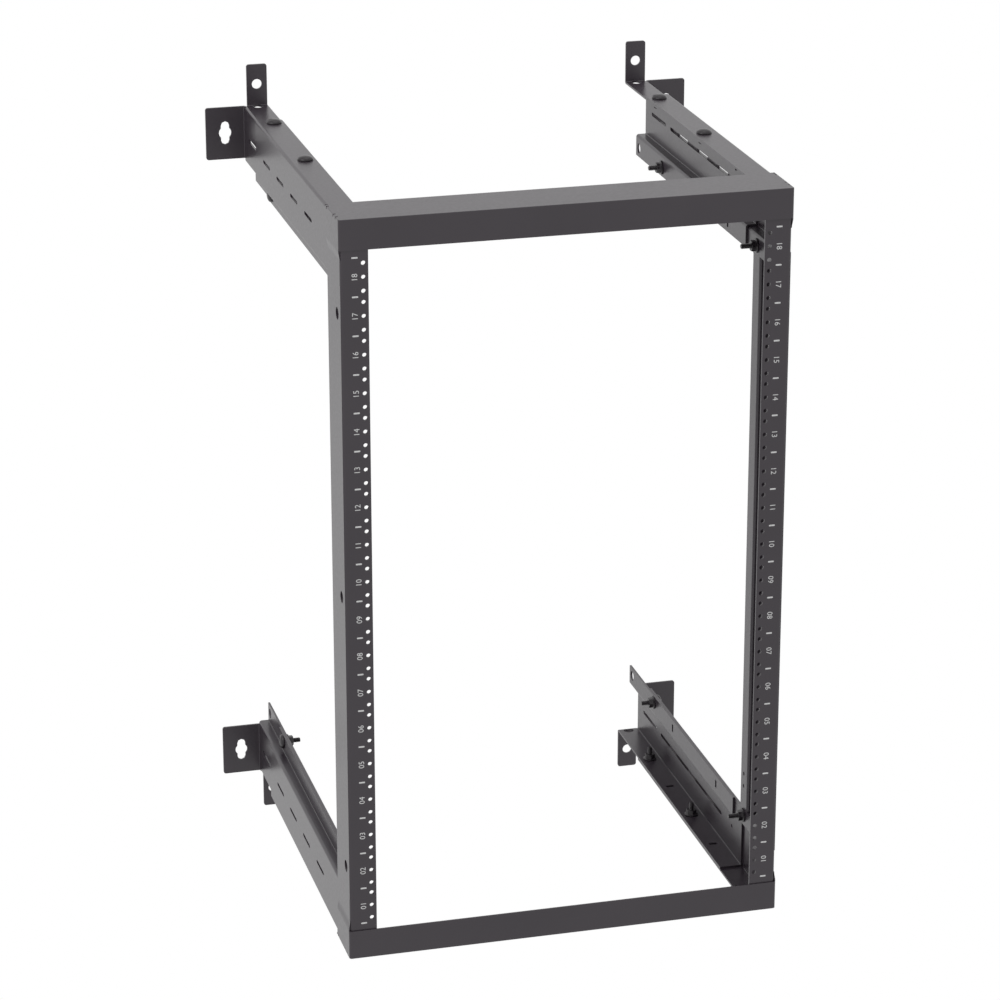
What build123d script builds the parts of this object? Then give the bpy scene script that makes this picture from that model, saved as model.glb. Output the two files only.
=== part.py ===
from build123d import *
from math import cos, pi, sin
import os

# Wall mount rack: an open frame of folded steel sheet that hangs on a wall by four brackets.
# Sizes are in millimetres. A piece is drawn with X across from the middle of the rack, Y back to
# the wall at 0 and Z up from half height. When it is done it is moved, so that the origin lies on
# the back of the upper left wall flange, between its keyhole and its fold.

# Rack opening
rack_units = 18
unit_height = 44.45
hole_heights = (6.35, 22.225, 38.1)  # of the three holes in a unit, above its lower edge
hole_column_spacing = 465.1  # from one column of holes to the other
rack_hole_diameter = 5.2
round_units = (1, 9, 18)  # their outer holes are drawn round, and the others get flat sides
hole_sides = 8

# Sheet
sheet = 2.4
bend_inside = 1.0  # inside radius of a fold
nest_gap = 0.1  # between sheets that lie on each other

# Side frames
frame_margin = 42.2  # of the side frames, above and below the units
hole_to_web = 25.95  # from a column of holes out to the face of the web
flange_width = 31.5
post_depth = 66.5
arm_height = 74.7
arm_length = 461.0
lip_step = 12.2  # how far the ledge sets the lip in from the web
lip_height = 21.5
lip_corner_radius = 3.0
arm_corner_radius = 8.0
side_hole_diameter = 14.0
side_hole_depth = 18.0  # from the front
side_hole_pitch = 333.35
ground_hole_diameter = 5.0
ground_hole_pitch = 16.0
ground_hole_height = 91.0  # of the middle of the pair, above the lowest unit

# Cross bars
bar_sheet = 1.5
bar_height = 35.0
bar_depth = 69.0
bottom_plate_depth = 58.0  # of the bottom bar between the arms
bar_fold_chamfer = 0.5
bar_corner_radius = 3.0
bar_lap = 8.0  # of a bar over the flanges of the side frames
bar_side_depth = 66.0
bar_corner_cut = 2.5
relief_width = 2.2
relief_depth = 3.0
relief_places = (14.7, 26.1, 59.3, 66.0)  # middles of the relief slits, from the front

# Slots in the arms
arm_slot_height = 6.5
arm_slot_length = 40.0
arm_slot_count = 4
arm_slot_pitch = 77.8
arm_slot_last = 397.6  # middle of the rear slot, from the front
arm_slot_drop = 38.2  # below the top of the frame

# Wall brackets
rack_depth = 546.1
bracket_length = 436.1
bracket_slot_drop = 40.2  # below the top of the frame
bracket_slot_height = 5.5
short_slot = (57.6, 59.0)  # middle, from the wall, and length
long_slot = (232.1, 254.0)
peep_hole_place = 399.1  # from the wall
peep_hole_diameter = 5.0
wall_flange_reach = 303.7  # of its outer edge, from the middle of the rack
wall_flange_height = 64.6
wall_corner_radius = 3.0
keyhole_reach = 279.9
keyhole_drop = 34.3  # below the top of the frame
keyhole_diameter = 15.5
keyhole_neck = 10.5
keyhole_height = 28.7
tab_width = 25.0
tab_height = 50.8
tab_hole_diameter = 12.2
tab_hole_rise = 26.4  # above the flange that carries the tab
tab_corner_radius = 3.0
sight_pitch = 177.8  # of the sight slots along a bracket
sight_first = 14.9  # from the wall
sight_slot_length = 10.0
sight_slot_width = 5.0
lip_hole_diameter = 13.0

# Carriage bolts that clamp the brackets to the arms
bolt_diameter = 6.0
bolt_clearance = 0.3
flange_bolt_rear = 442.3  # from the front
flange_bolt_pitch = 177.8
lip_bolt_rear = 435.5  # from the front

# Worked out from the sizes above
half_height = rack_units * unit_height / 2 + frame_margin
web_outside = hole_column_spacing / 2 + hole_to_web
flange_edge = web_outside - flange_width
lip_outside = web_outside - lip_step
bend_outside = bend_inside + sheet
bend_middle = bend_inside + sheet / 2
nesting = sheet + nest_gap  # how far a bracket's sheet lies inside the arm's
front = -rack_depth
tab_middle = flange_edge + tab_width / 2
lip_middle = half_height - arm_height - lip_height / 2
bracket_top = half_height - nesting
bolt_hole = bolt_diameter + 2 * bolt_clearance
wall_bend = -bend_outside  # where the folds at the wall begin


def stepped_channel(depth, inside=0):
    """Middle line of a folded sheet: flange, web, ledge and lip, each as (across, depth)."""
    middle = inside + sheet / 2
    return [
        (flange_edge, middle),
        (web_outside - middle, middle),
        (web_outside - middle, depth - middle),
        (lip_outside - middle, depth - middle),
        (lip_outside - middle, depth + lip_height),
    ]


def fold(points):
    """Cross-section of a sheet folded along the points, for the sketch that calls it."""
    with BuildLine() as middle:
        FilletPolyline(*points, radius=bend_middle)
    trace(middle.line, line_width=sheet)


def arm_section(inside=0):
    return [(x, half_height - depth) for x, depth in stepped_channel(arm_height, inside)]


def cut_front(places, shape, *size):
    """Cuts one shape through the front flange at each place."""
    with BuildSketch(Plane.XZ.offset(rack_depth)) as outline:
        with Locations(*places):
            shape(*size)
    extrude(outline.sketch, amount=-sheet - nest_gap, mode=Mode.SUBTRACT)


def cut_web(places, outside, shape, *size):
    """Cuts one shape through an upright sheet that faces sideways, at each (Y, Z) place."""
    with BuildSketch(Plane.YZ.offset(outside)) as outline:
        with Locations(*places):
            shape(*size)
    extrude(outline.sketch, amount=-sheet - nest_gap, mode=Mode.SUBTRACT)


def cut_top(places, top, shape, *size):
    """Cuts one shape through a level sheet at each (X, Y) place."""
    with BuildSketch(Plane.XY.offset(top)) as outline:
        with Locations(*places):
            shape(*size)
    extrude(outline.sketch, amount=-sheet - nest_gap, mode=Mode.SUBTRACT)


def slot_outline(length, height):
    """Corners of a slot whose round ends have a few flat sides."""
    radius = height / 2
    turns = [(2 * step / hole_sides - 0.5) * pi for step in range(hole_sides // 2 + 1)]
    end = [(length / 2 - radius + radius * cos(turn), radius * sin(turn)) for turn in turns]
    return end + [(-x, -y) for x, y in end]


def flange_bolts():
    """Places of the two bolts on the top of an arm."""
    return [(tab_middle, front + flange_bolt_rear - step * flange_bolt_pitch) for step in (0, 1)]


def lip_bolts():
    """Places of the rear lip bolt and of the bolt in the corner of post and arm."""
    corner = front + post_depth + lip_height / 2
    return [(front + lip_bolt_rear, lip_middle), (corner, lip_middle)]


def side_frame():
    """Right side frame: a post and two arms folded from one sheet round an open C."""
    post = [(x, front + depth) for x, depth in stepped_channel(post_depth)]
    ledge_inner = lip_outside + bend_inside
    ledge = [post[1], post[2], (ledge_inner, post[3][1])]
    flange_reach = half_height - bar_height + bar_lap
    ledge_reach = half_height - arm_height + sheet / 2
    lip_reach = half_height - arm_height - bend_inside
    bar_end = front + bar_depth - bar_lap
    with BuildPart() as frame:
        # Half of the post. Its ledge and lip end under the ledge of the arm.
        for points, reach in ((post, lip_reach), (post[:3], flange_reach), (ledge, ledge_reach)):
            with BuildSketch():
                fold(points)
            extrude(amount=reach)
        # The ledge line stops at the fold of the lip, and the post's web runs on to the bar.
        with BuildSketch(Plane.XZ.offset(rack_depth - arm_length)):
            fold(arm_section())
        extrude(amount=arm_length - bend_outside)
        # Under the bar the flanges are cut away round the corner.
        with BuildSketch(Plane.XY.offset(half_height - bend_outside)):
            with Locations((flange_edge, front)):
                Rectangle(
                    web_outside - flange_edge + sheet,
                    bar_end - front,
                    align=(Align.MIN, Align.MIN),
                )
        extrude(amount=bend_outside, mode=Mode.SUBTRACT)
        rear = frame.edges().filter_by_position(Axis.Y, front + arm_length, front + arm_length)
        corner = rear.filter_by(Axis.Z).sort_by(Axis.X)[0]
        fillet(corner, radius=arm_corner_radius)
        inner = frame.edges().filter_by(Axis.X).sort_by_distance(
            (lip_outside, front + post_depth + lip_height, half_height - arm_height - lip_height)
        )[0]
        fillet(inner, radius=lip_corner_radius)
        # Slots and square bolt holes of the arm
        slots = [
            (front + arm_slot_last - step * arm_slot_pitch, half_height - arm_slot_drop)
            for step in range(arm_slot_count)
        ]
        cut_web(slots, web_outside, Polygon, *slot_outline(arm_slot_length, arm_slot_height))
        cut_web(lip_bolts(), lip_outside, Rectangle, bolt_hole, bolt_hole)
        cut_top(flange_bolts(), half_height, Rectangle, bolt_hole, bolt_hole)
        mirror(about=Plane.XY)
        # Rack holes: three to a unit, all the way up the post
        lowest = -rack_units * unit_height / 2
        round_holes, flat_sided_holes = [], []
        for unit in range(rack_units):
            for height in hole_heights:
                outer = height != hole_heights[1]
                holes = round_holes if outer and unit + 1 in round_units else flat_sided_holes
                holes.append((hole_column_spacing / 2, lowest + unit * unit_height + height))
        cut_front(round_holes, Circle, rack_hole_diameter / 2)
        cut_front(flat_sided_holes, RegularPolygon, rack_hole_diameter / 2, hole_sides)
        side_holes = [(front + side_hole_depth, step * side_hole_pitch) for step in (-1, 0, 1)]
        cut_web(side_holes[::2], web_outside, Circle, side_hole_diameter / 2)
        cut_web(side_holes[1:2], web_outside, RegularPolygon, side_hole_diameter / 2, 2 * hole_sides)
        # Two small holes for an earth screw low on the lip of the post
        ground_middle = lowest + ground_hole_height
        ground_holes = [
            (front + post_depth + lip_height / 2 + bend_inside, ground_middle + side)
            for side in (-ground_hole_pitch / 2, ground_hole_pitch / 2)
        ]
        cut_web(ground_holes, lip_outside, RegularPolygon, ground_hole_diameter / 2, hole_sides)
    return frame.part


def cross_bar(middle_depth):
    """Top bar: front plate, top plate and two sides, which lap over the side frames."""
    cover = nest_gap + bar_sheet  # from the side frames out to the face of the bar
    half_width, top, face = web_outside + cover, half_height + cover, front - cover
    low = top - bar_height
    with BuildPart() as bar:
        with BuildSketch(Plane.XY.offset(top)) as outside:
            with Locations((0, face)):
                Rectangle(2 * half_width, bar_depth, align=(Align.CENTER, Align.MIN))
            fillet(outside.vertices().group_by(Axis.Y)[0], radius=bar_corner_radius)
        extrude(amount=-bar_height)
        upper = bar.edges().filter_by_position(Axis.Z, top, top)
        rear = upper.sort_by(Axis.Y)[-1]
        chamfer([edge for edge in upper if edge != rear], length=bar_fold_chamfer)
        # The hollow in it, open below and to the rear
        with BuildSketch(Plane.XY.offset(top - bar_sheet)) as inside:
            with Locations((0, face + bar_sheet)):
                Rectangle(2 * (half_width - bar_sheet), bar_depth, align=(Align.CENTER, Align.MIN))
            fillet(inside.vertices().group_by(Axis.Y)[0], radius=bar_corner_radius - bar_sheet)
        extrude(amount=-bar_height, mode=Mode.SUBTRACT)
        # The sides end short of the plate, with their lower corner cut off.
        side_end = face + bar_side_depth
        with BuildSketch(Plane.YZ.offset(-half_width)):
            with BuildLine():
                Polyline(
                    (side_end - bar_corner_cut, low),
                    (side_end, low + bar_corner_cut),
                    (side_end, top - bar_sheet),
                    (face + bar_depth, top - bar_sheet),
                    (face + bar_depth, low),
                    close=True,
                )
            make_face()
        extrude(amount=2 * half_width, mode=Mode.SUBTRACT)
        # Relief slits in the fold of each side
        slits = [(side * half_width, face + place) for side in (-1, 1) for place in relief_places]
        with BuildSketch(Plane.XY.offset(top)):
            with Locations(*slits):
                Rectangle(2 * relief_depth, relief_width)
        extrude(amount=-relief_depth, mode=Mode.SUBTRACT)
        # Between the arms the plate may end further forward.
        if middle_depth < bar_depth:
            with BuildSketch(Plane.XY.offset(top)):
                with Locations((0, face + middle_depth)):
                    Rectangle(2 * flange_edge, bar_depth, align=(Align.CENTER, Align.MIN))
            extrude(amount=-bar_sheet, mode=Mode.SUBTRACT)
    return bar.part


def wall_bracket():
    """Upper right bracket: slides inside the arm, and folds out and up against the wall."""
    ledge_top = half_height - arm_height + nesting + sheet
    with BuildPart() as bracket:
        with BuildSketch(Plane.XZ.offset(-wall_bend)):
            fold(arm_section(nesting))
        extrude(amount=bracket_length + wall_bend)
        # Wall flange, folded outwards from the web
        web = web_outside - nesting - sheet / 2
        with BuildSketch(Plane.XY.offset(bracket_top - wall_flange_height)):
            fold([(web, wall_bend - sheet), (web, -sheet / 2), (wall_flange_reach, -sheet / 2)])
        extrude(amount=wall_flange_height)
        corners = bracket.edges().filter_by(Axis.Y).group_by(Axis.X)[-1]
        fillet(corners, radius=wall_corner_radius)
        # Wall tab, folded up from the flange
        flange = bracket_top - sheet / 2
        with BuildSketch(Plane.YZ.offset(flange_edge)):
            fold([(wall_bend - sheet, flange), (-sheet / 2, flange), (-sheet / 2, bracket_top + tab_height)])
        extrude(amount=tab_width)
        corners = bracket.edges().filter_by(Axis.Y).group_by(Axis.Z)[-1]
        fillet(corners, radius=tab_corner_radius)
        # Holes that take the wall screws
        with BuildSketch(Plane.XZ):
            with Locations((tab_middle, bracket_top + tab_hole_rise)):
                Circle(tab_hole_diameter / 2)
            with Locations((keyhole_reach, half_height - keyhole_drop)):
                RegularPolygon(keyhole_diameter / 2, 2 * hole_sides)
                Polygon(*slot_outline(keyhole_height, keyhole_neck), rotation=90)
        extrude(amount=sheet + nest_gap, mode=Mode.SUBTRACT)
        # Slots of the web
        web_face = web_outside - nesting
        slot_line = half_height - bracket_slot_drop
        for place, length in (short_slot, long_slot):
            outline = slot_outline(length, bracket_slot_height)
            cut_web([(-place, slot_line)], web_face, Polygon, *outline)
        peep_hole = [(-peep_hole_place, slot_line)]
        cut_web(peep_hole, web_face, RegularPolygon, peep_hole_diameter / 2, hole_sides)
        # Bolt holes, and sight slots that show how far the bracket is drawn out
        sights = [-sight_first - step * sight_pitch for step in range(3)]
        lip_face = lip_outside - nesting
        flange_sights = [(tab_middle, y) for y in sights]
        lip_sights = [(y, lip_middle) for y in sights[1:]]
        lip_hole = [(sights[0], lip_middle)]
        cut_top(flange_sights, bracket_top, Rectangle, sight_slot_length, sight_slot_width)
        cut_web(lip_sights, lip_face, Rectangle, sight_slot_width, sight_slot_length)
        cut_web(lip_hole, lip_face, RegularPolygon, lip_hole_diameter / 2, 2 * hole_sides)
        cut_top(flange_bolts(), bracket_top, Rectangle, bolt_hole, bolt_hole)
        cut_web(lip_bolts()[:1], lip_face, Rectangle, bolt_hole, bolt_hole)
    return bracket.part


def finish(piece, label):
    """Moves a piece so that the origin lies on the upper left wall flange, and writes it."""
    flange_spot = (web_outside + keyhole_reach - keyhole_diameter / 2) / 2
    to_origin = Location((flange_spot, 0, keyhole_drop - half_height))
    placed = piece.moved(to_origin)
    placed.label = label
    export_step(placed, f"parts/{label}.step")


def main():
    os.makedirs("parts", exist_ok=True)
    right_frame = side_frame()
    finish(right_frame, "right_side_frame")
    finish(mirror(right_frame, about=Plane.YZ), "left_side_frame")
    finish(cross_bar(bar_depth), "top_bar")
    finish(mirror(cross_bar(bottom_plate_depth), about=Plane.XY), "bottom_bar")
    upper_right = wall_bracket()
    upper_left = mirror(upper_right, about=Plane.YZ)
    finish(upper_right, "upper_right_bracket")
    finish(upper_left, "upper_left_bracket")
    finish(mirror(upper_right, about=Plane.XY), "lower_right_bracket")
    finish(mirror(upper_left, about=Plane.XY), "lower_left_bracket")


main()
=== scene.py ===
import bmesh
import bpy
import numpy as np
from math import radians
from mathutils import Matrix, Vector


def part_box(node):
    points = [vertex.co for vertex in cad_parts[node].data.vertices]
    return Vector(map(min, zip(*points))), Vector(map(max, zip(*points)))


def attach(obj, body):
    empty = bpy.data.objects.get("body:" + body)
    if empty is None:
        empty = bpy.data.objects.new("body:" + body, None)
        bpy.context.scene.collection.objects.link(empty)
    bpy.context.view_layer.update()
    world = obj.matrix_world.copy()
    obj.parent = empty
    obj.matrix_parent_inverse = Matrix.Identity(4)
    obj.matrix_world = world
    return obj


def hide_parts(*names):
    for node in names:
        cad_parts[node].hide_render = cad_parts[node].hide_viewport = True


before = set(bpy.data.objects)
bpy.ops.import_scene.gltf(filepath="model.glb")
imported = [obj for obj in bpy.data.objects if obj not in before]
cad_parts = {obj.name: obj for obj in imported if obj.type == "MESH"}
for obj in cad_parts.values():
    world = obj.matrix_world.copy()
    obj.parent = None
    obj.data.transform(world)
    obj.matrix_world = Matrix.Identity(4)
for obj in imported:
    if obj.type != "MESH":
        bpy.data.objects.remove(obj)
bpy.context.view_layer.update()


# Places read from the frame: middle of the rack, front face, and the outside of the side frames
leftLow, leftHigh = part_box("left_side_frame")
rightLow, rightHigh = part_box("right_side_frame")
midX = (leftLow.x + rightHigh.x) / 2
midZ = (leftLow.z + leftHigh.z) / 2
frontY = rightLow.y
webOutside = rightHigh.x - midX
halfHeight = leftHigh.z - midZ
print("frame: middle", round(midX, 4), round(midZ, 4), "front", round(frontY, 4))

sides = (("left", -1), ("right", 1))
levels = (("upper", 1), ("lower", -1))
creaseAngle = 32  # degrees, past which an edge of a made surface stays sharp


# Object of a mesh, curve, lamp or camera, with its origin at the world's.
def addObject(name, data):
    made = bpy.data.objects.new(name, data)
    bpy.context.scene.collection.objects.link(made)
    return made


# Fixes a piece to the rack and gives it its finish.
def finishPiece(piece, material):
    piece.data.materials.clear()
    piece.data.materials.append(material)
    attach(piece, "root")


# Mesh of a grid of points: rows along a profile, columns once round, each closed on itself.
# With ring the last row joins the first, and otherwise the two end rows get a flat cap.
def closedSurface(name, points, ring=False):
    rows, columns = points.shape[:2]
    index = np.arange(rows * columns).reshape(rows, columns)
    above = np.roll(index, -1, axis=0) if ring else index[1:]
    below = index if ring else index[:-1]
    around = [below, np.roll(below, -1, 1), np.roll(above, -1, 1), above]
    quads = np.stack(around, axis=-1).reshape(-1, 4)
    faces = quads.tolist()
    if not ring:
        faces += [index[0][::-1].tolist(), index[-1].tolist()]
    corners = points.reshape(-1, 3)
    a, b, c, d = (corners[quads[:, i]] for i in range(4))
    volume = np.einsum("ij,ij->", a, np.cross(b, c)) + np.einsum("ij,ij->", a, np.cross(c, d))
    if volume < 0:  # the grid winds inwards, so every face is turned round
        faces = [face[::-1] for face in faces]
    mesh = bpy.data.meshes.new(name)
    mesh.from_pydata(corners.tolist(), [], faces)
    mesh.polygons.foreach_set("use_smooth", np.ones(len(faces), bool))
    mesh.set_sharp_from_angle(angle=radians(creaseAngle))
    return addObject(name, mesh)


# Grid of points from x, y and z, each spread over every row and column.
def grid(x, y, z):
    return np.stack(np.broadcast_arrays(x, y, z), -1)


# Grid of rings round +Z: a radius and a height for each row and column, at the columns' angles.
def ringRows(radius, height, angle):
    return grid(radius * np.cos(angle), radius * np.sin(angle), height)


# Turns a shape drawn round +Z so that +Z points along the direction, with its origin on the seat.
def alongAxis(points, seat, direction):
    turn = np.array(Vector((0, 0, 1)).rotation_difference(Vector(direction)).to_matrix())
    return points @ turn.T + np.array(seat)


# Material with its main shader, the nodes and links to build on, and object coordinates
# moved by the shift, which its noises read.
def shader(name, colour, roughness, shift=(0, 0, 0)):
    material = bpy.data.materials.new(name)
    material.use_nodes = True
    nodes, links = material.node_tree.nodes, material.node_tree.links
    surface = nodes["Principled BSDF"]
    surface.inputs["Base Color"].default_value = (*colour, 1)
    surface.inputs["Roughness"].default_value = roughness
    where = nodes.new("ShaderNodeTexCoord")
    move = nodes.new("ShaderNodeMapping")
    move.inputs["Location"].default_value = shift
    links.new(where.outputs["Object"], move.inputs["Vector"])
    return material, nodes, links, surface, move


# Noise of so many waves to a metre, with finer octaves as the detail says.
def noise(nodes, links, move, scale, detail):
    texture = nodes.new("ShaderNodeTexNoise")
    texture.inputs["Scale"].default_value = scale
    texture.inputs["Detail"].default_value = detail
    links.new(move.outputs["Vector"], texture.inputs["Vector"])
    return texture


# Base colour between two colours, by a factor from 0 to 1.
def twoTone(nodes, links, surface, factor, first, second):
    tone = nodes.new("ShaderNodeMix")
    tone.data_type = "RGBA"
    tone.inputs["A"].default_value = (*first, 1)
    tone.inputs["B"].default_value = (*second, 1)
    links.new(factor, tone.inputs["Factor"])
    links.new(tone.outputs["Result"], surface.inputs["Base Color"])


# Spreads the part of a noise that lies in one range over another.
def spread(nodes, links, texture, fromRange, toRange):
    node = nodes.new("ShaderNodeMapRange")
    node.inputs["From Min"].default_value = fromRange[0]
    node.inputs["From Max"].default_value = fromRange[1]
    node.inputs["To Min"].default_value = toRange[0]
    node.inputs["To Max"].default_value = toRange[1]
    links.new(texture.outputs["Fac"], node.inputs["Value"])
    return node.outputs["Result"]


# Bump of a texture, on top of another bump where one is given.
def bump(nodes, links, texture, depth, under=None):
    node = nodes.new("ShaderNodeBump")
    node.inputs["Distance"].default_value = depth
    links.new(texture.outputs["Fac"], node.inputs["Height"])
    if under:
        links.new(under.outputs["Normal"], node.inputs["Normal"])
    return node


powderCoat = {
    "dark": (0.0245, 0.0190, 0.0250),
    "light": (0.0340, 0.0275, 0.0345),
    "roughness": (0.29, 0.33),
    "cloud": 9, "cloudDetail": 3,  # waves of the tone to a metre, and their octaves
    "grain": 1400, "grainDetail": 2,  # of the fine powder
    "grainDepth": 0.00001,
    "peel": 260, "peelDetail": 2,  # of the wider orange peel
    "peelDepth": 0.00002,
    "peelRange": (0.3, 0.7),  # the part of it that changes the roughness
    "shift": (0.37, 0.259, 0.481),  # of the patterns from one node to the next
}


# Satin black powder coat: cloudy tone, fine grain and a low orange peel under it.
def makePowderCoat(name, number):
    look = powderCoat
    shift = [number * step for step in look["shift"]]
    material, nodes, links, surface, move = shader(name, look["dark"], look["roughness"][0], shift)
    cloud = noise(nodes, links, move, look["cloud"], look["cloudDetail"])
    twoTone(nodes, links, surface, cloud.outputs["Fac"], look["dark"], look["light"])
    peel = noise(nodes, links, move, look["peel"], look["peelDetail"])
    gloss = spread(nodes, links, peel, look["peelRange"], look["roughness"])
    links.new(gloss, surface.inputs["Roughness"])
    grain = noise(nodes, links, move, look["grain"], look["grainDetail"])
    low = bump(nodes, links, peel, look["peelDepth"])
    fine = bump(nodes, links, grain, look["grainDepth"], low)
    links.new(fine.outputs["Normal"], surface.inputs["Normal"])
    return material


blackZinc = {
    "dark": (0.010, 0.0075, 0.010),
    "light": (0.018, 0.0145, 0.018),
    "roughness": 0.30, "shine": 0.4,
    "smear": 300, "smearDetail": 3, "smearDepth": 0.00002,
}


# Black plated steel of bolts and nuts, with a faint smear in its tone.
def makeBlackZinc():
    look = blackZinc
    material, nodes, links, surface, move = shader("blackZinc", look["dark"], look["roughness"])
    surface.inputs["Specular IOR Level"].default_value = look["shine"]
    smear = noise(nodes, links, move, look["smear"], look["smearDetail"])
    twoTone(nodes, links, surface, smear.outputs["Fac"], look["dark"], look["light"])
    low = bump(nodes, links, smear, look["smearDepth"])
    links.new(low.outputs["Normal"], surface.inputs["Normal"])
    return material


whiteInk = {
    "colour": (0.56, 0.56, 0.56),
    "thin": (0.34, 0.34, 0.34),  # where the coat shows through
    "roughness": 0.6,
    "patch": 900, "patchDetail": 2,
    "patchRange": (0.5, 0.9),  # the part of the noise that thins the ink
}


# Printed white ink, thinner where its fine noise is high.
def makeWhiteInk():
    look = whiteInk
    material, nodes, links, surface, move = shader("whiteInk", look["colour"], look["roughness"])
    patch = noise(nodes, links, move, look["patch"], look["patchDetail"])
    thinned = spread(nodes, links, patch, look["patchRange"], (0, 1))
    twoTone(nodes, links, surface, thinned, look["colour"], look["thin"])
    return material


# Cut-outs of the folded sheets, set where they sit on the assembled rack. Places are (away from the
# middle plane, back from the front, in from the top or bottom of the frame), each with how far its
# box reaches to every side. Of is a part of the names of its nodes, narrow the share of a slot's
# height that stays, and level -1 picks the lower half.
foldedSheet = {
    "merge": 0.000001,  # corners of the node's mesh that are nearer than this become one
    "cutouts": {
        "bracketWebSlots": {
            "of": "bracket", "at": (0.2548, 0.355, 0.0402), "reach": (0.0015, 0.18, 0.0033),
            "narrow": 0.836, "move": (0, 0, -0.0015),
        },
        "armSlots": {
            "of": "side_frame", "at": (0.2573, 0.2807, 0.0382), "reach": (0.0015, 0.16, 0.0037),
            "narrow": 0.646, "move": (0, 0, 0.0009),
        },
        "slotByTab": {
            "of": "bracket", "at": (0.2395, 0.5312, 0.0037), "reach": (0.0052, 0.0027, 0.0014),
            "move": (0, 0.0070, 0),  # to where the round hole beside the tab cuts it away
        },
        "lowerLipHoles": {
            "of": "", "at": (0.2438, 0.2566, 0.08545), "reach": (0.0040, 0.1830, 0.0035),
            "level": -1, "move": (0, 0, 0.0020),
        },
    },
    "tabHole": {
        "radius": 0.0065, "sides": 40,
        "fromWall": 0.0079, "away": 0.2395,  # of its middle, from the wall and the middle plane
        "drop": 0.0037, "reach": 0.0019,  # of the sheet's middle, and half the depth of the cut
    },
}


# Copy of a node's mesh, merged, with the corners in each cut-out's box moved or drawn together.
def sheetCopy(node):
    look = foldedSheet
    work = bmesh.new()
    work.from_mesh(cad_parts[node].data)
    bmesh.ops.remove_doubles(work, verts=work.verts, dist=look["merge"])
    mesh = bpy.data.meshes.new(node + "Sheet")
    work.to_mesh(mesh)
    work.free()
    flat = np.empty(len(mesh.vertices) * 3)
    mesh.vertices.foreach_get("co", flat)
    x, y, z = flat.reshape(-1, 3).T
    side, level = np.sign(x - midX), np.sign(z - midZ)
    place = grid(np.abs(x - midX), y - frontY, halfHeight - np.abs(z - midZ))
    for cut in look["cutouts"].values():
        if cut["of"] not in node:
            continue
        inside = np.all(np.abs(place - cut["at"]) < cut["reach"], axis=1)
        if "level" in cut:
            inside &= level == cut["level"]
        middle = cut["at"][2]
        place[inside, 2] = middle + (place[inside, 2] - middle) * cut.get("narrow", 1)
        place[inside] += cut["move"]
    across, back, drop = place.T
    moved = grid(midX + side * across, frontY + back, midZ + level * (halfHeight - drop))
    mesh.vertices.foreach_set("co", moved.ravel())
    mesh.update()
    return addObject(node + "Sheet", mesh)


# Cuts the round hole beside the tab with a prism: points of a circle at both ends of a straight
# line through the sheet.
def cutTabHole(piece, node):
    look = foldedSheet["tabHole"]
    across = -1 if "left" in node else 1
    up = -1 if "lower" in node else 1
    angle = np.linspace(0, 2 * np.pi, look["sides"], endpoint=False)
    x = midX + across * look["away"] + look["radius"] * np.cos(angle)
    y = -look["fromWall"] + look["radius"] * np.sin(angle)
    z = midZ + up * (halfHeight - look["drop"]) + np.array([-look["reach"], look["reach"]])
    prism = closedSurface("tabHoleTool", grid(x, y, z[:, None]))
    cut = piece.modifiers.new("tabHole", "BOOLEAN")
    cut.operation = "DIFFERENCE"
    cut.solver = "EXACT"
    cut.object = prism
    bpy.context.view_layer.update()
    shown = piece.evaluated_get(bpy.context.evaluated_depsgraph_get())
    mesh = bpy.data.meshes.new_from_object(shown)
    piece.modifiers.clear()
    piece.data = mesh
    bpy.data.objects.remove(prism)


# Six folded sheets in place of their nodes, flat shaded, each in its node's own coat.
def makeSheets(coats):
    made = []
    for node in sorted(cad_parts):
        if node.endswith("bar"):
            continue
        piece = sheetCopy(node)
        if "bracket" in node:
            cutTabHole(piece, node)
        piece.data.polygons.foreach_set("use_smooth", np.zeros(len(piece.data.polygons), bool))
        finishPiece(piece, coats[node])
        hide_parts(node)
        made.append(piece)
    return made


bolt = {
    "headRadius": 0.0091, "headHeight": 0.0052,
    "rim": 0.0009, "rimTaper": 0.985,  # height of the head's edge, and how much it draws in
    "middle": 0.06, "domeRows": 10,  # where the dome's first row lies, as a share of a quarter turn
    "neck": 0.0061, "neckHeight": 0.0023,
    "neckBlunt": 0.66,  # how far a corner of the neck reaches, as a share of its width
    "radius": 0.0030, "threadDepth": 0.00045, "pitch": 0.001,
    "threadStart": 0.0003,  # under the neck
    "tip": 0.25,  # at its end the thread draws in by the rest of its depth
    "length": {  # from the seat of the head
        "upperFlange": 0.0130, "lowerFlange": 0.0215, "lip": 0.0215,
    },
    "round": 48, "steps": 8,  # columns round the bolt, and rows to a turn of thread
}


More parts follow.
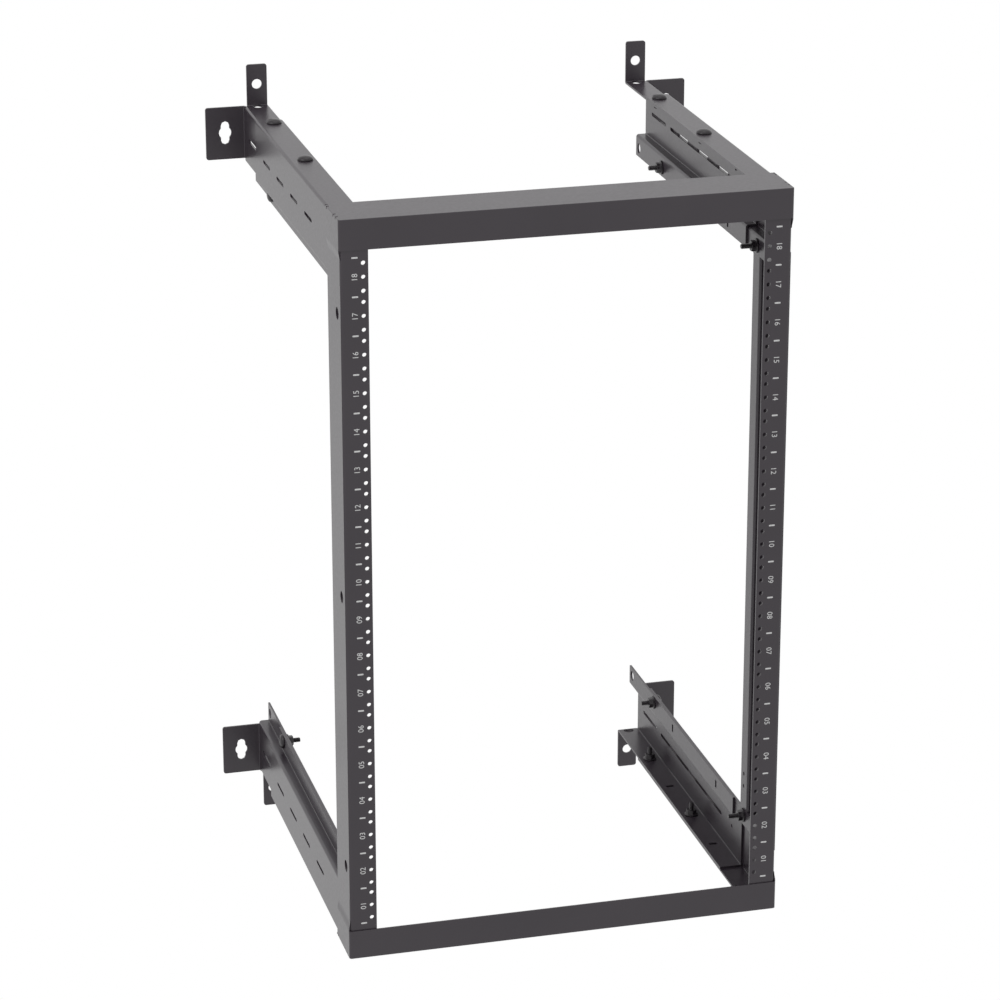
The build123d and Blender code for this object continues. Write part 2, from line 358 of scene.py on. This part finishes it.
# Carriage bolt on its seat, shank along the direction. Profile rows run from the middle of the
# domed head out to its rim, back to the square neck, and down a thread whose radius is the bolt's
# less a wave of the height minus the turn, so that its crest climbs one pitch in each turn.
def makeBolt(name, seat, direction, length):
    look = bolt
    angle = np.linspace(0, 2 * np.pi, look["round"], endpoint=False)
    swell = np.linspace(look["middle"], 1, look["domeRows"]) * np.pi / 2
    domeRadius = look["headRadius"] * np.sin(swell)
    domeZ = -look["rim"] - (look["headHeight"] - look["rim"]) * np.cos(swell)
    rimRadius = [look["headRadius"], look["headRadius"] * look["rimTaper"]]
    headRadius = np.concatenate([domeRadius, rimRadius])
    headZ = np.concatenate([domeZ, [-look["rim"] / 2, 0.0]])
    head = ringRows(headRadius[:, None], headZ[:, None], angle)
    # Square neck: radius to the side of a square at each angle, with its corners just blunted
    toSide = look["neck"] / 2 / np.maximum(np.abs(np.cos(angle)), np.abs(np.sin(angle)))
    square = np.minimum(toSide, look["neck"] * look["neckBlunt"])
    neck = ringRows(square, np.array([[0.0], [look["neckHeight"]]]), angle)
    threadTop = look["neckHeight"] + look["threadStart"]
    rows = np.arange(threadTop, length, look["pitch"] / look["steps"])[:, None]
    wave = 0.5 + 0.5 * np.cos(2 * np.pi * (rows / look["pitch"] - angle / (2 * np.pi)))
    fade = np.clip((length - rows) / look["pitch"], look["tip"], 1)
    threadRadius = look["radius"] - look["threadDepth"] * wave - look["threadDepth"] * (1 - fade)
    thread = ringRows(threadRadius, rows, angle)
    points = np.concatenate([head, neck, thread])
    return closedSurface(name, alongAxis(points, seat, direction))


nut = {
    "across": 0.0118, "height": 0.0074,
    "cornerCut": 1.13,  # reach of the hexagon's corners, to half its width across flats
    "chamfer": 0.97, "chamferSlope": 0.55,  # radius of the top face likewise, and fall to its edge
    "flangeRadius": 0.0085, "flangeHeight": 0.0015,
    "face": 0.97, "shoulder": 0.96, "root": 0.9,  # shares of it below, on top and at the hexagon
    "spread": 1.03,  # of the hexagon where it meets the flange
    "rise": (0.0007, 0.0010),  # of the hexagon's root over the flange, start and end
    "edge": 0.0002,  # height of the small rounded edges
    "bore": 0.0031, "boreEase": 0.0004, "boreTop": 0.0006,  # and its rounding below and above
    "seat": 0.0016,  # width of the flat ring round the bore
    "teeth": 24, "toothDepth": 0.00025,
    "round": 144,
}


# Flange nut on its seat, away along the direction. A ring of profile rows: bore, toothed face,
# flange, hexagon and top chamfer. The hexagon's radius at an angle is half its width across flats
# over the cosine of the angle from the nearest flat, and the chamfer takes the smaller of that
# and a cone.
def makeNut(name, seat, direction):
    look = nut
    angle = np.linspace(0, 2 * np.pi, look["round"], endpoint=False)
    sixth = np.pi / 3
    half, bore, top = look["across"] / 2, look["bore"], look["height"]
    flange, plate, edge = look["flangeRadius"], look["flangeHeight"], look["edge"]
    hexagon = half / np.cos((angle + sixth / 2) % sixth - sixth / 2)
    hexagon = np.minimum(hexagon, half * look["cornerCut"])
    root = np.minimum(hexagon * look["spread"], flange * look["root"])
    tooth = look["toothDepth"] * ((angle * look["teeth"] / (2 * np.pi)) % 1)
    chamfer = half * look["chamfer"]
    profile = [  # radius and height of each row
        (bore, top / 2),
        (bore, look["boreEase"]),
        (bore + look["boreEase"], 0.0),
        (bore + look["seat"], 0.0),
        (flange * look["face"], tooth),
        (flange, tooth + edge),
        (flange, plate),
        (flange * look["shoulder"], plate + edge),
        (root, plate + look["rise"][0]),
        (hexagon, plate + look["rise"][1]),
        (hexagon, top - edge - (hexagon - chamfer) * look["chamferSlope"]),
        (np.minimum(hexagon, chamfer), top),
        (bore + look["boreTop"], top),
        (bore, top - look["boreTop"]),
    ]
    points = np.stack([ringRows(radius, height, angle) for radius, height in profile])
    return closedSurface(name, alongAxis(points, seat, direction), ring=True)


clamp = {
    "sheet": 0.0024, "gap": 0.0001,  # thickness of a sheet, and what lies between two
    "topX": 0.2395,  # of the bolts on the arms, from the middle of the rack
    "topRear": 0.1038, "topFront": 0.2816,  # from the wall
    "lipX": 0.2463,  # outer side of the lip
    "lipDrop": {"upper": 0.08545, "lower": 0.08745},  # in from the top or bottom of the frame
    "lipRear": 0.4355, "lipCorner": 0.07725,  # from the front
}


# Sixteen bolts with their nuts: two on each arm's flange, two through each arm's lip.
def makeFasteners(material):
    look = clamp
    both = 2 * look["sheet"] + look["gap"]
    made = []
    for side, across in sides:
        for level, up in levels:
            flange = midZ + up * halfHeight
            lipZ = midZ + up * (halfHeight - look["lipDrop"][level])
            flangeX = midX + across * look["topX"]
            lipX = midX + across * look["lipX"]
            down, inward = (0, 0, -up), (-across, 0, 0)
            spots = [
                ("FlangeRear", (flangeX, -look["topRear"], flange), down, both),
                ("FlangeFront", (flangeX, -look["topFront"], flange), down, both),
                ("LipRear", (lipX, frontY + look["lipRear"], lipZ), inward, both),
                ("LipCorner", (lipX, frontY + look["lipCorner"], lipZ), inward, look["sheet"]),
            ]
            for place, seat, direction, grip in spots:
                name = level + side.capitalize() + place
                kind = level + "Flange" if place.startswith("Flange") else "lip"
                made.append(makeBolt(name + "Bolt", seat, direction, bolt["length"][kind]))
                nutSeat = np.array(seat) + np.array(direction) * grip
                made.append(makeNut(name + "Nut", nutSeat, direction))
    for piece in made:
        finishPiece(piece, material)
    return made


seam = {
    "rise": 0.0120,  # of the slope from the web up to the side of the bar
    "start": 0.0025, "end": 0.0640,  # from the face of the bar
    "lift": 0.00002,  # over the step, and into the sheets behind it
    "rows": 9,  # over the slope
}


# Slope of filler from the web of a post out to the edge of a bar's side. Its section is a wedge
# whose face is half a cosine wave over the rise, and it is carried straight back along Y.
def makeSeams(coats):
    look = seam
    lift = look["lift"]
    t = np.linspace(0, 1, look["rows"])
    for bar, up in (("top_bar", 1), ("bottom_bar", -1)):
        low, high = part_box(bar)
        edge = low.z if up > 0 else high.z
        for side, across in sides:
            step = (high.x - low.x) / 2 - webOutside
            face = step * (0.5 + 0.5 * np.cos(np.pi * t))
            out = np.concatenate([face + lift, [-lift, -lift]])
            rise = np.concatenate([t * look["rise"], [look["rise"], -lift]])
            x = midX + across * (webOutside + out)
            y = low.y + np.array([look["start"], look["end"]])
            name = bar.split("_")[0] + side.capitalize() + "SeamFill"
            piece = closedSurface(name, grid(x, y[:, None], edge - up * rise))
            finishPiece(piece, coats[side + "_side_frame"])


marks = {
    "units": 18, "unitHeight": 0.04445,
    "across": 0.2430, "aside": 0.0008,  # from the middle plane, and to the right on both posts
    "dash": (0.0070, 0.0019),  # length and width
    "dashPoints": 24, "dashPower": 0.35,  # of the outline: a lower power is squarer
    "digitSize": 0.0092, "digitSteps": 3,
    "thickness": 0.00006,
}


# Dashes between the units and two-digit numbers in them, printed on both front flanges.
def makeMarks(material):
    look = marks
    lowest = midZ - look["units"] * look["unitHeight"] / 2
    for side, across in sides:
        x = midX + across * look["across"] + look["aside"]
        meshes = []
        for unit in range(look["units"]):
            z = lowest + (unit + 0.5) * look["unitHeight"]
            meshes.append(printedNumber(f"{unit + 1:02d}", x, z, -across))
        piece = joined(side + "PostMarks", meshes + printedDashes(x, lowest))
        finishPiece(piece, material)


# Mesh of a number read from the rack's side: turn is 1 where its top points to the left.
def printedNumber(text, x, z, turn):
    look = marks
    curve = bpy.data.curves.new("number", "FONT")
    curve.body = text
    curve.size = look["digitSize"]
    curve.align_x = "CENTER"
    curve.align_y = "CENTER"
    curve.extrude = look["thickness"] / 2
    curve.resolution_u = look["digitSteps"]
    holder = addObject("number", curve)
    bpy.context.view_layer.update()
    shown = holder.evaluated_get(bpy.context.evaluated_depsgraph_get())
    mesh = bpy.data.meshes.new_from_object(shown)
    bpy.data.objects.remove(holder)
    upright = Matrix.Rotation(radians(90), 4, "X")
    turned = Matrix.Rotation(radians(-90 * turn), 4, "Y")
    place = Matrix.Translation((x, frontY - look["thickness"] / 2, z))
    mesh.transform(place @ turned @ upright)
    return mesh


# Thin boxes with round ends: the outline is a superellipse, raised to the ink's thickness.
def printedDashes(x, lowest):
    look = marks
    angle = np.linspace(0, 2 * np.pi, look["dashPoints"], endpoint=False)
    cos, sin, power = np.cos(angle), np.sin(angle), look["dashPower"]
    wide = np.sign(cos) * np.abs(cos) ** power * look["dash"][0] / 2
    high = np.sign(sin) * np.abs(sin) ** power * look["dash"][1] / 2
    depth = np.array([[0.0], [look["thickness"]]])
    one = grid(x + wide, frontY - depth, high)
    meshes = []
    for unit in range(look["units"] + 1):
        points = one + np.array([0, 0, lowest + unit * look["unitHeight"]])
        dash = closedSurface("dash", points)
        meshes.append(dash.data)
        bpy.data.objects.remove(dash)
    return meshes


# One piece of many meshes, by way of their stacked vertices and faces.
def joined(name, meshes):
    corners, faces, start = [], [], 0
    for mesh in meshes:
        place = np.empty(len(mesh.vertices) * 3)
        mesh.vertices.foreach_get("co", place)
        corners.append(place.reshape(-1, 3))
        faces += [[start + v for v in polygon.vertices] for polygon in mesh.polygons]
        start += len(mesh.vertices)
        bpy.data.meshes.remove(mesh)
    mesh = bpy.data.meshes.new(name)
    mesh.from_pydata(np.concatenate(corners).tolist(), [], faces)
    return addObject(name, mesh)


studio = {
    "camera": (-0.815575, -4.324000, 1.115800),
    "azimuth": -14.851, "elevation": 19.942, "roll": -0.03,
    "lens": 133.44, "sensor": 36, "farthest": 50,
    "floor": -1.6, "floorSize": 30, "floorTone": (0.8, 0.8, 0.8),
    "ambient": 0.85,
    "aimY": -0.3,  # depth that the lamps point at, in the middle of the rack
    "lamps": {
        "keyLight": {"place": (-2.6, -1.6, 2.4), "size": 2.2, "power": 50},
        "topLight": {"place": (0.6, -0.2, 3.0), "size": 2.0, "power": 12},
    },
}


# Mixes the shade with plain white for the rays that the eye, gloss and glass see.
def whiteToEye(nodes, links, shade):
    rays = nodes.new("ShaderNodeLightPath")
    isSky = shade.bl_idname == "ShaderNodeBackground"
    white = nodes.new("ShaderNodeBackground" if isSky else "ShaderNodeEmission")
    white.inputs["Color"].default_value = (1, 1, 1, 1)
    white.inputs["Strength"].default_value = 1
    eyeOrGloss = nodes.new("ShaderNodeMath")
    eyeOrGloss.operation = "MAXIMUM"
    links.new(rays.outputs["Is Camera Ray"], eyeOrGloss.inputs[0])
    links.new(rays.outputs["Is Glossy Ray"], eyeOrGloss.inputs[1])
    seen = nodes.new("ShaderNodeMath")
    seen.operation = "MAXIMUM"
    links.new(eyeOrGloss.outputs[0], seen.inputs[0])
    links.new(rays.outputs["Is Transmission Ray"], seen.inputs[1])
    mix = nodes.new("ShaderNodeMixShader")
    links.new(seen.outputs[0], mix.inputs["Fac"])
    links.new(shade.outputs[0], mix.inputs[1])
    links.new(white.outputs[0], mix.inputs[2])
    return mix.outputs[0]


# White world, a pale floor well under the hanging rack, and the lamps.
def makeStudio():
    look = studio
    scene = bpy.context.scene
    scene.view_settings.view_transform = "Standard"
    world = bpy.data.worlds.new("studio")
    scene.world = world
    world.use_nodes = True
    nodes, links = world.node_tree.nodes, world.node_tree.links
    sky = nodes["Background"]
    sky.inputs["Color"].default_value = (1, 1, 1, 1)
    sky.inputs["Strength"].default_value = look["ambient"]
    links.new(whiteToEye(nodes, links, sky), nodes["World Output"].inputs["Surface"])
    bpy.ops.mesh.primitive_plane_add(size=look["floorSize"], location=(midX, 0, look["floor"]))
    floor = bpy.context.object
    floor.name = "studioFloor"
    material = bpy.data.materials.new("paleFloor")
    material.use_nodes = True
    nodes, links = material.node_tree.nodes, material.node_tree.links
    nodes.remove(nodes["Principled BSDF"])
    matt = nodes.new("ShaderNodeBsdfDiffuse")
    matt.inputs["Color"].default_value = (*look["floorTone"], 1)
    links.new(whiteToEye(nodes, links, matt), nodes["Material Output"].inputs["Surface"])
    floor.data.materials.append(material)
    for name, lamp in look["lamps"].items():
        areaLight(name, lamp, (midX, look["aimY"], midZ))


# Square lamp that points at the target.
def areaLight(name, lamp, target):
    light = bpy.data.lights.new(name, "AREA")
    light.size = lamp["size"]
    light.energy = lamp["power"]
    holder = addObject(name, light)
    holder.location = lamp["place"]
    aim = Vector(target) - Vector(lamp["place"])
    holder.rotation_euler = aim.to_track_quat("-Z", "Y").to_euler()


# Camera at the photograph's place: its back vector comes from azimuth and elevation.
def makeCamera():
    look = studio
    turn, tilt = radians(look["azimuth"]), radians(look["elevation"])
    back = Vector((np.sin(turn) * np.cos(tilt), -np.cos(turn) * np.cos(tilt), np.sin(tilt)))
    right = Vector((np.cos(turn), np.sin(turn), 0))
    up = back.cross(right)
    camera = bpy.data.cameras.new("camera")
    camera.lens = look["lens"]
    camera.sensor_width = look["sensor"]
    camera.clip_end = look["farthest"]
    holder = addObject("camera", camera)
    roll = Matrix.Rotation(radians(look["roll"]), 3, "Z")
    axes = Matrix((right, up, back)).transposed() @ roll
    holder.matrix_world = Matrix.Translation(look["camera"]) @ axes.to_4x4()
    bpy.context.scene.camera = holder


def main():
    makeCamera()
    makeStudio()
    print("studio and camera made")
    coats = {}
    for number, node in enumerate(sorted(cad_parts)):
        coats[node] = makePowderCoat(node + "Coat", number)
        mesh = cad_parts[node].data
        mesh.materials.clear()
        mesh.materials.append(coats[node])
    print("powder coat on", len(coats), "nodes")
    print("folded sheets set:", len(makeSheets(coats)))
    makeSeams(coats)
    print("seams beside the bars filled")
    print("bolts and nuts made:", len(makeFasteners(makeBlackZinc())))
    makeMarks(makeWhiteInk())
    print("unit marks printed")


main()
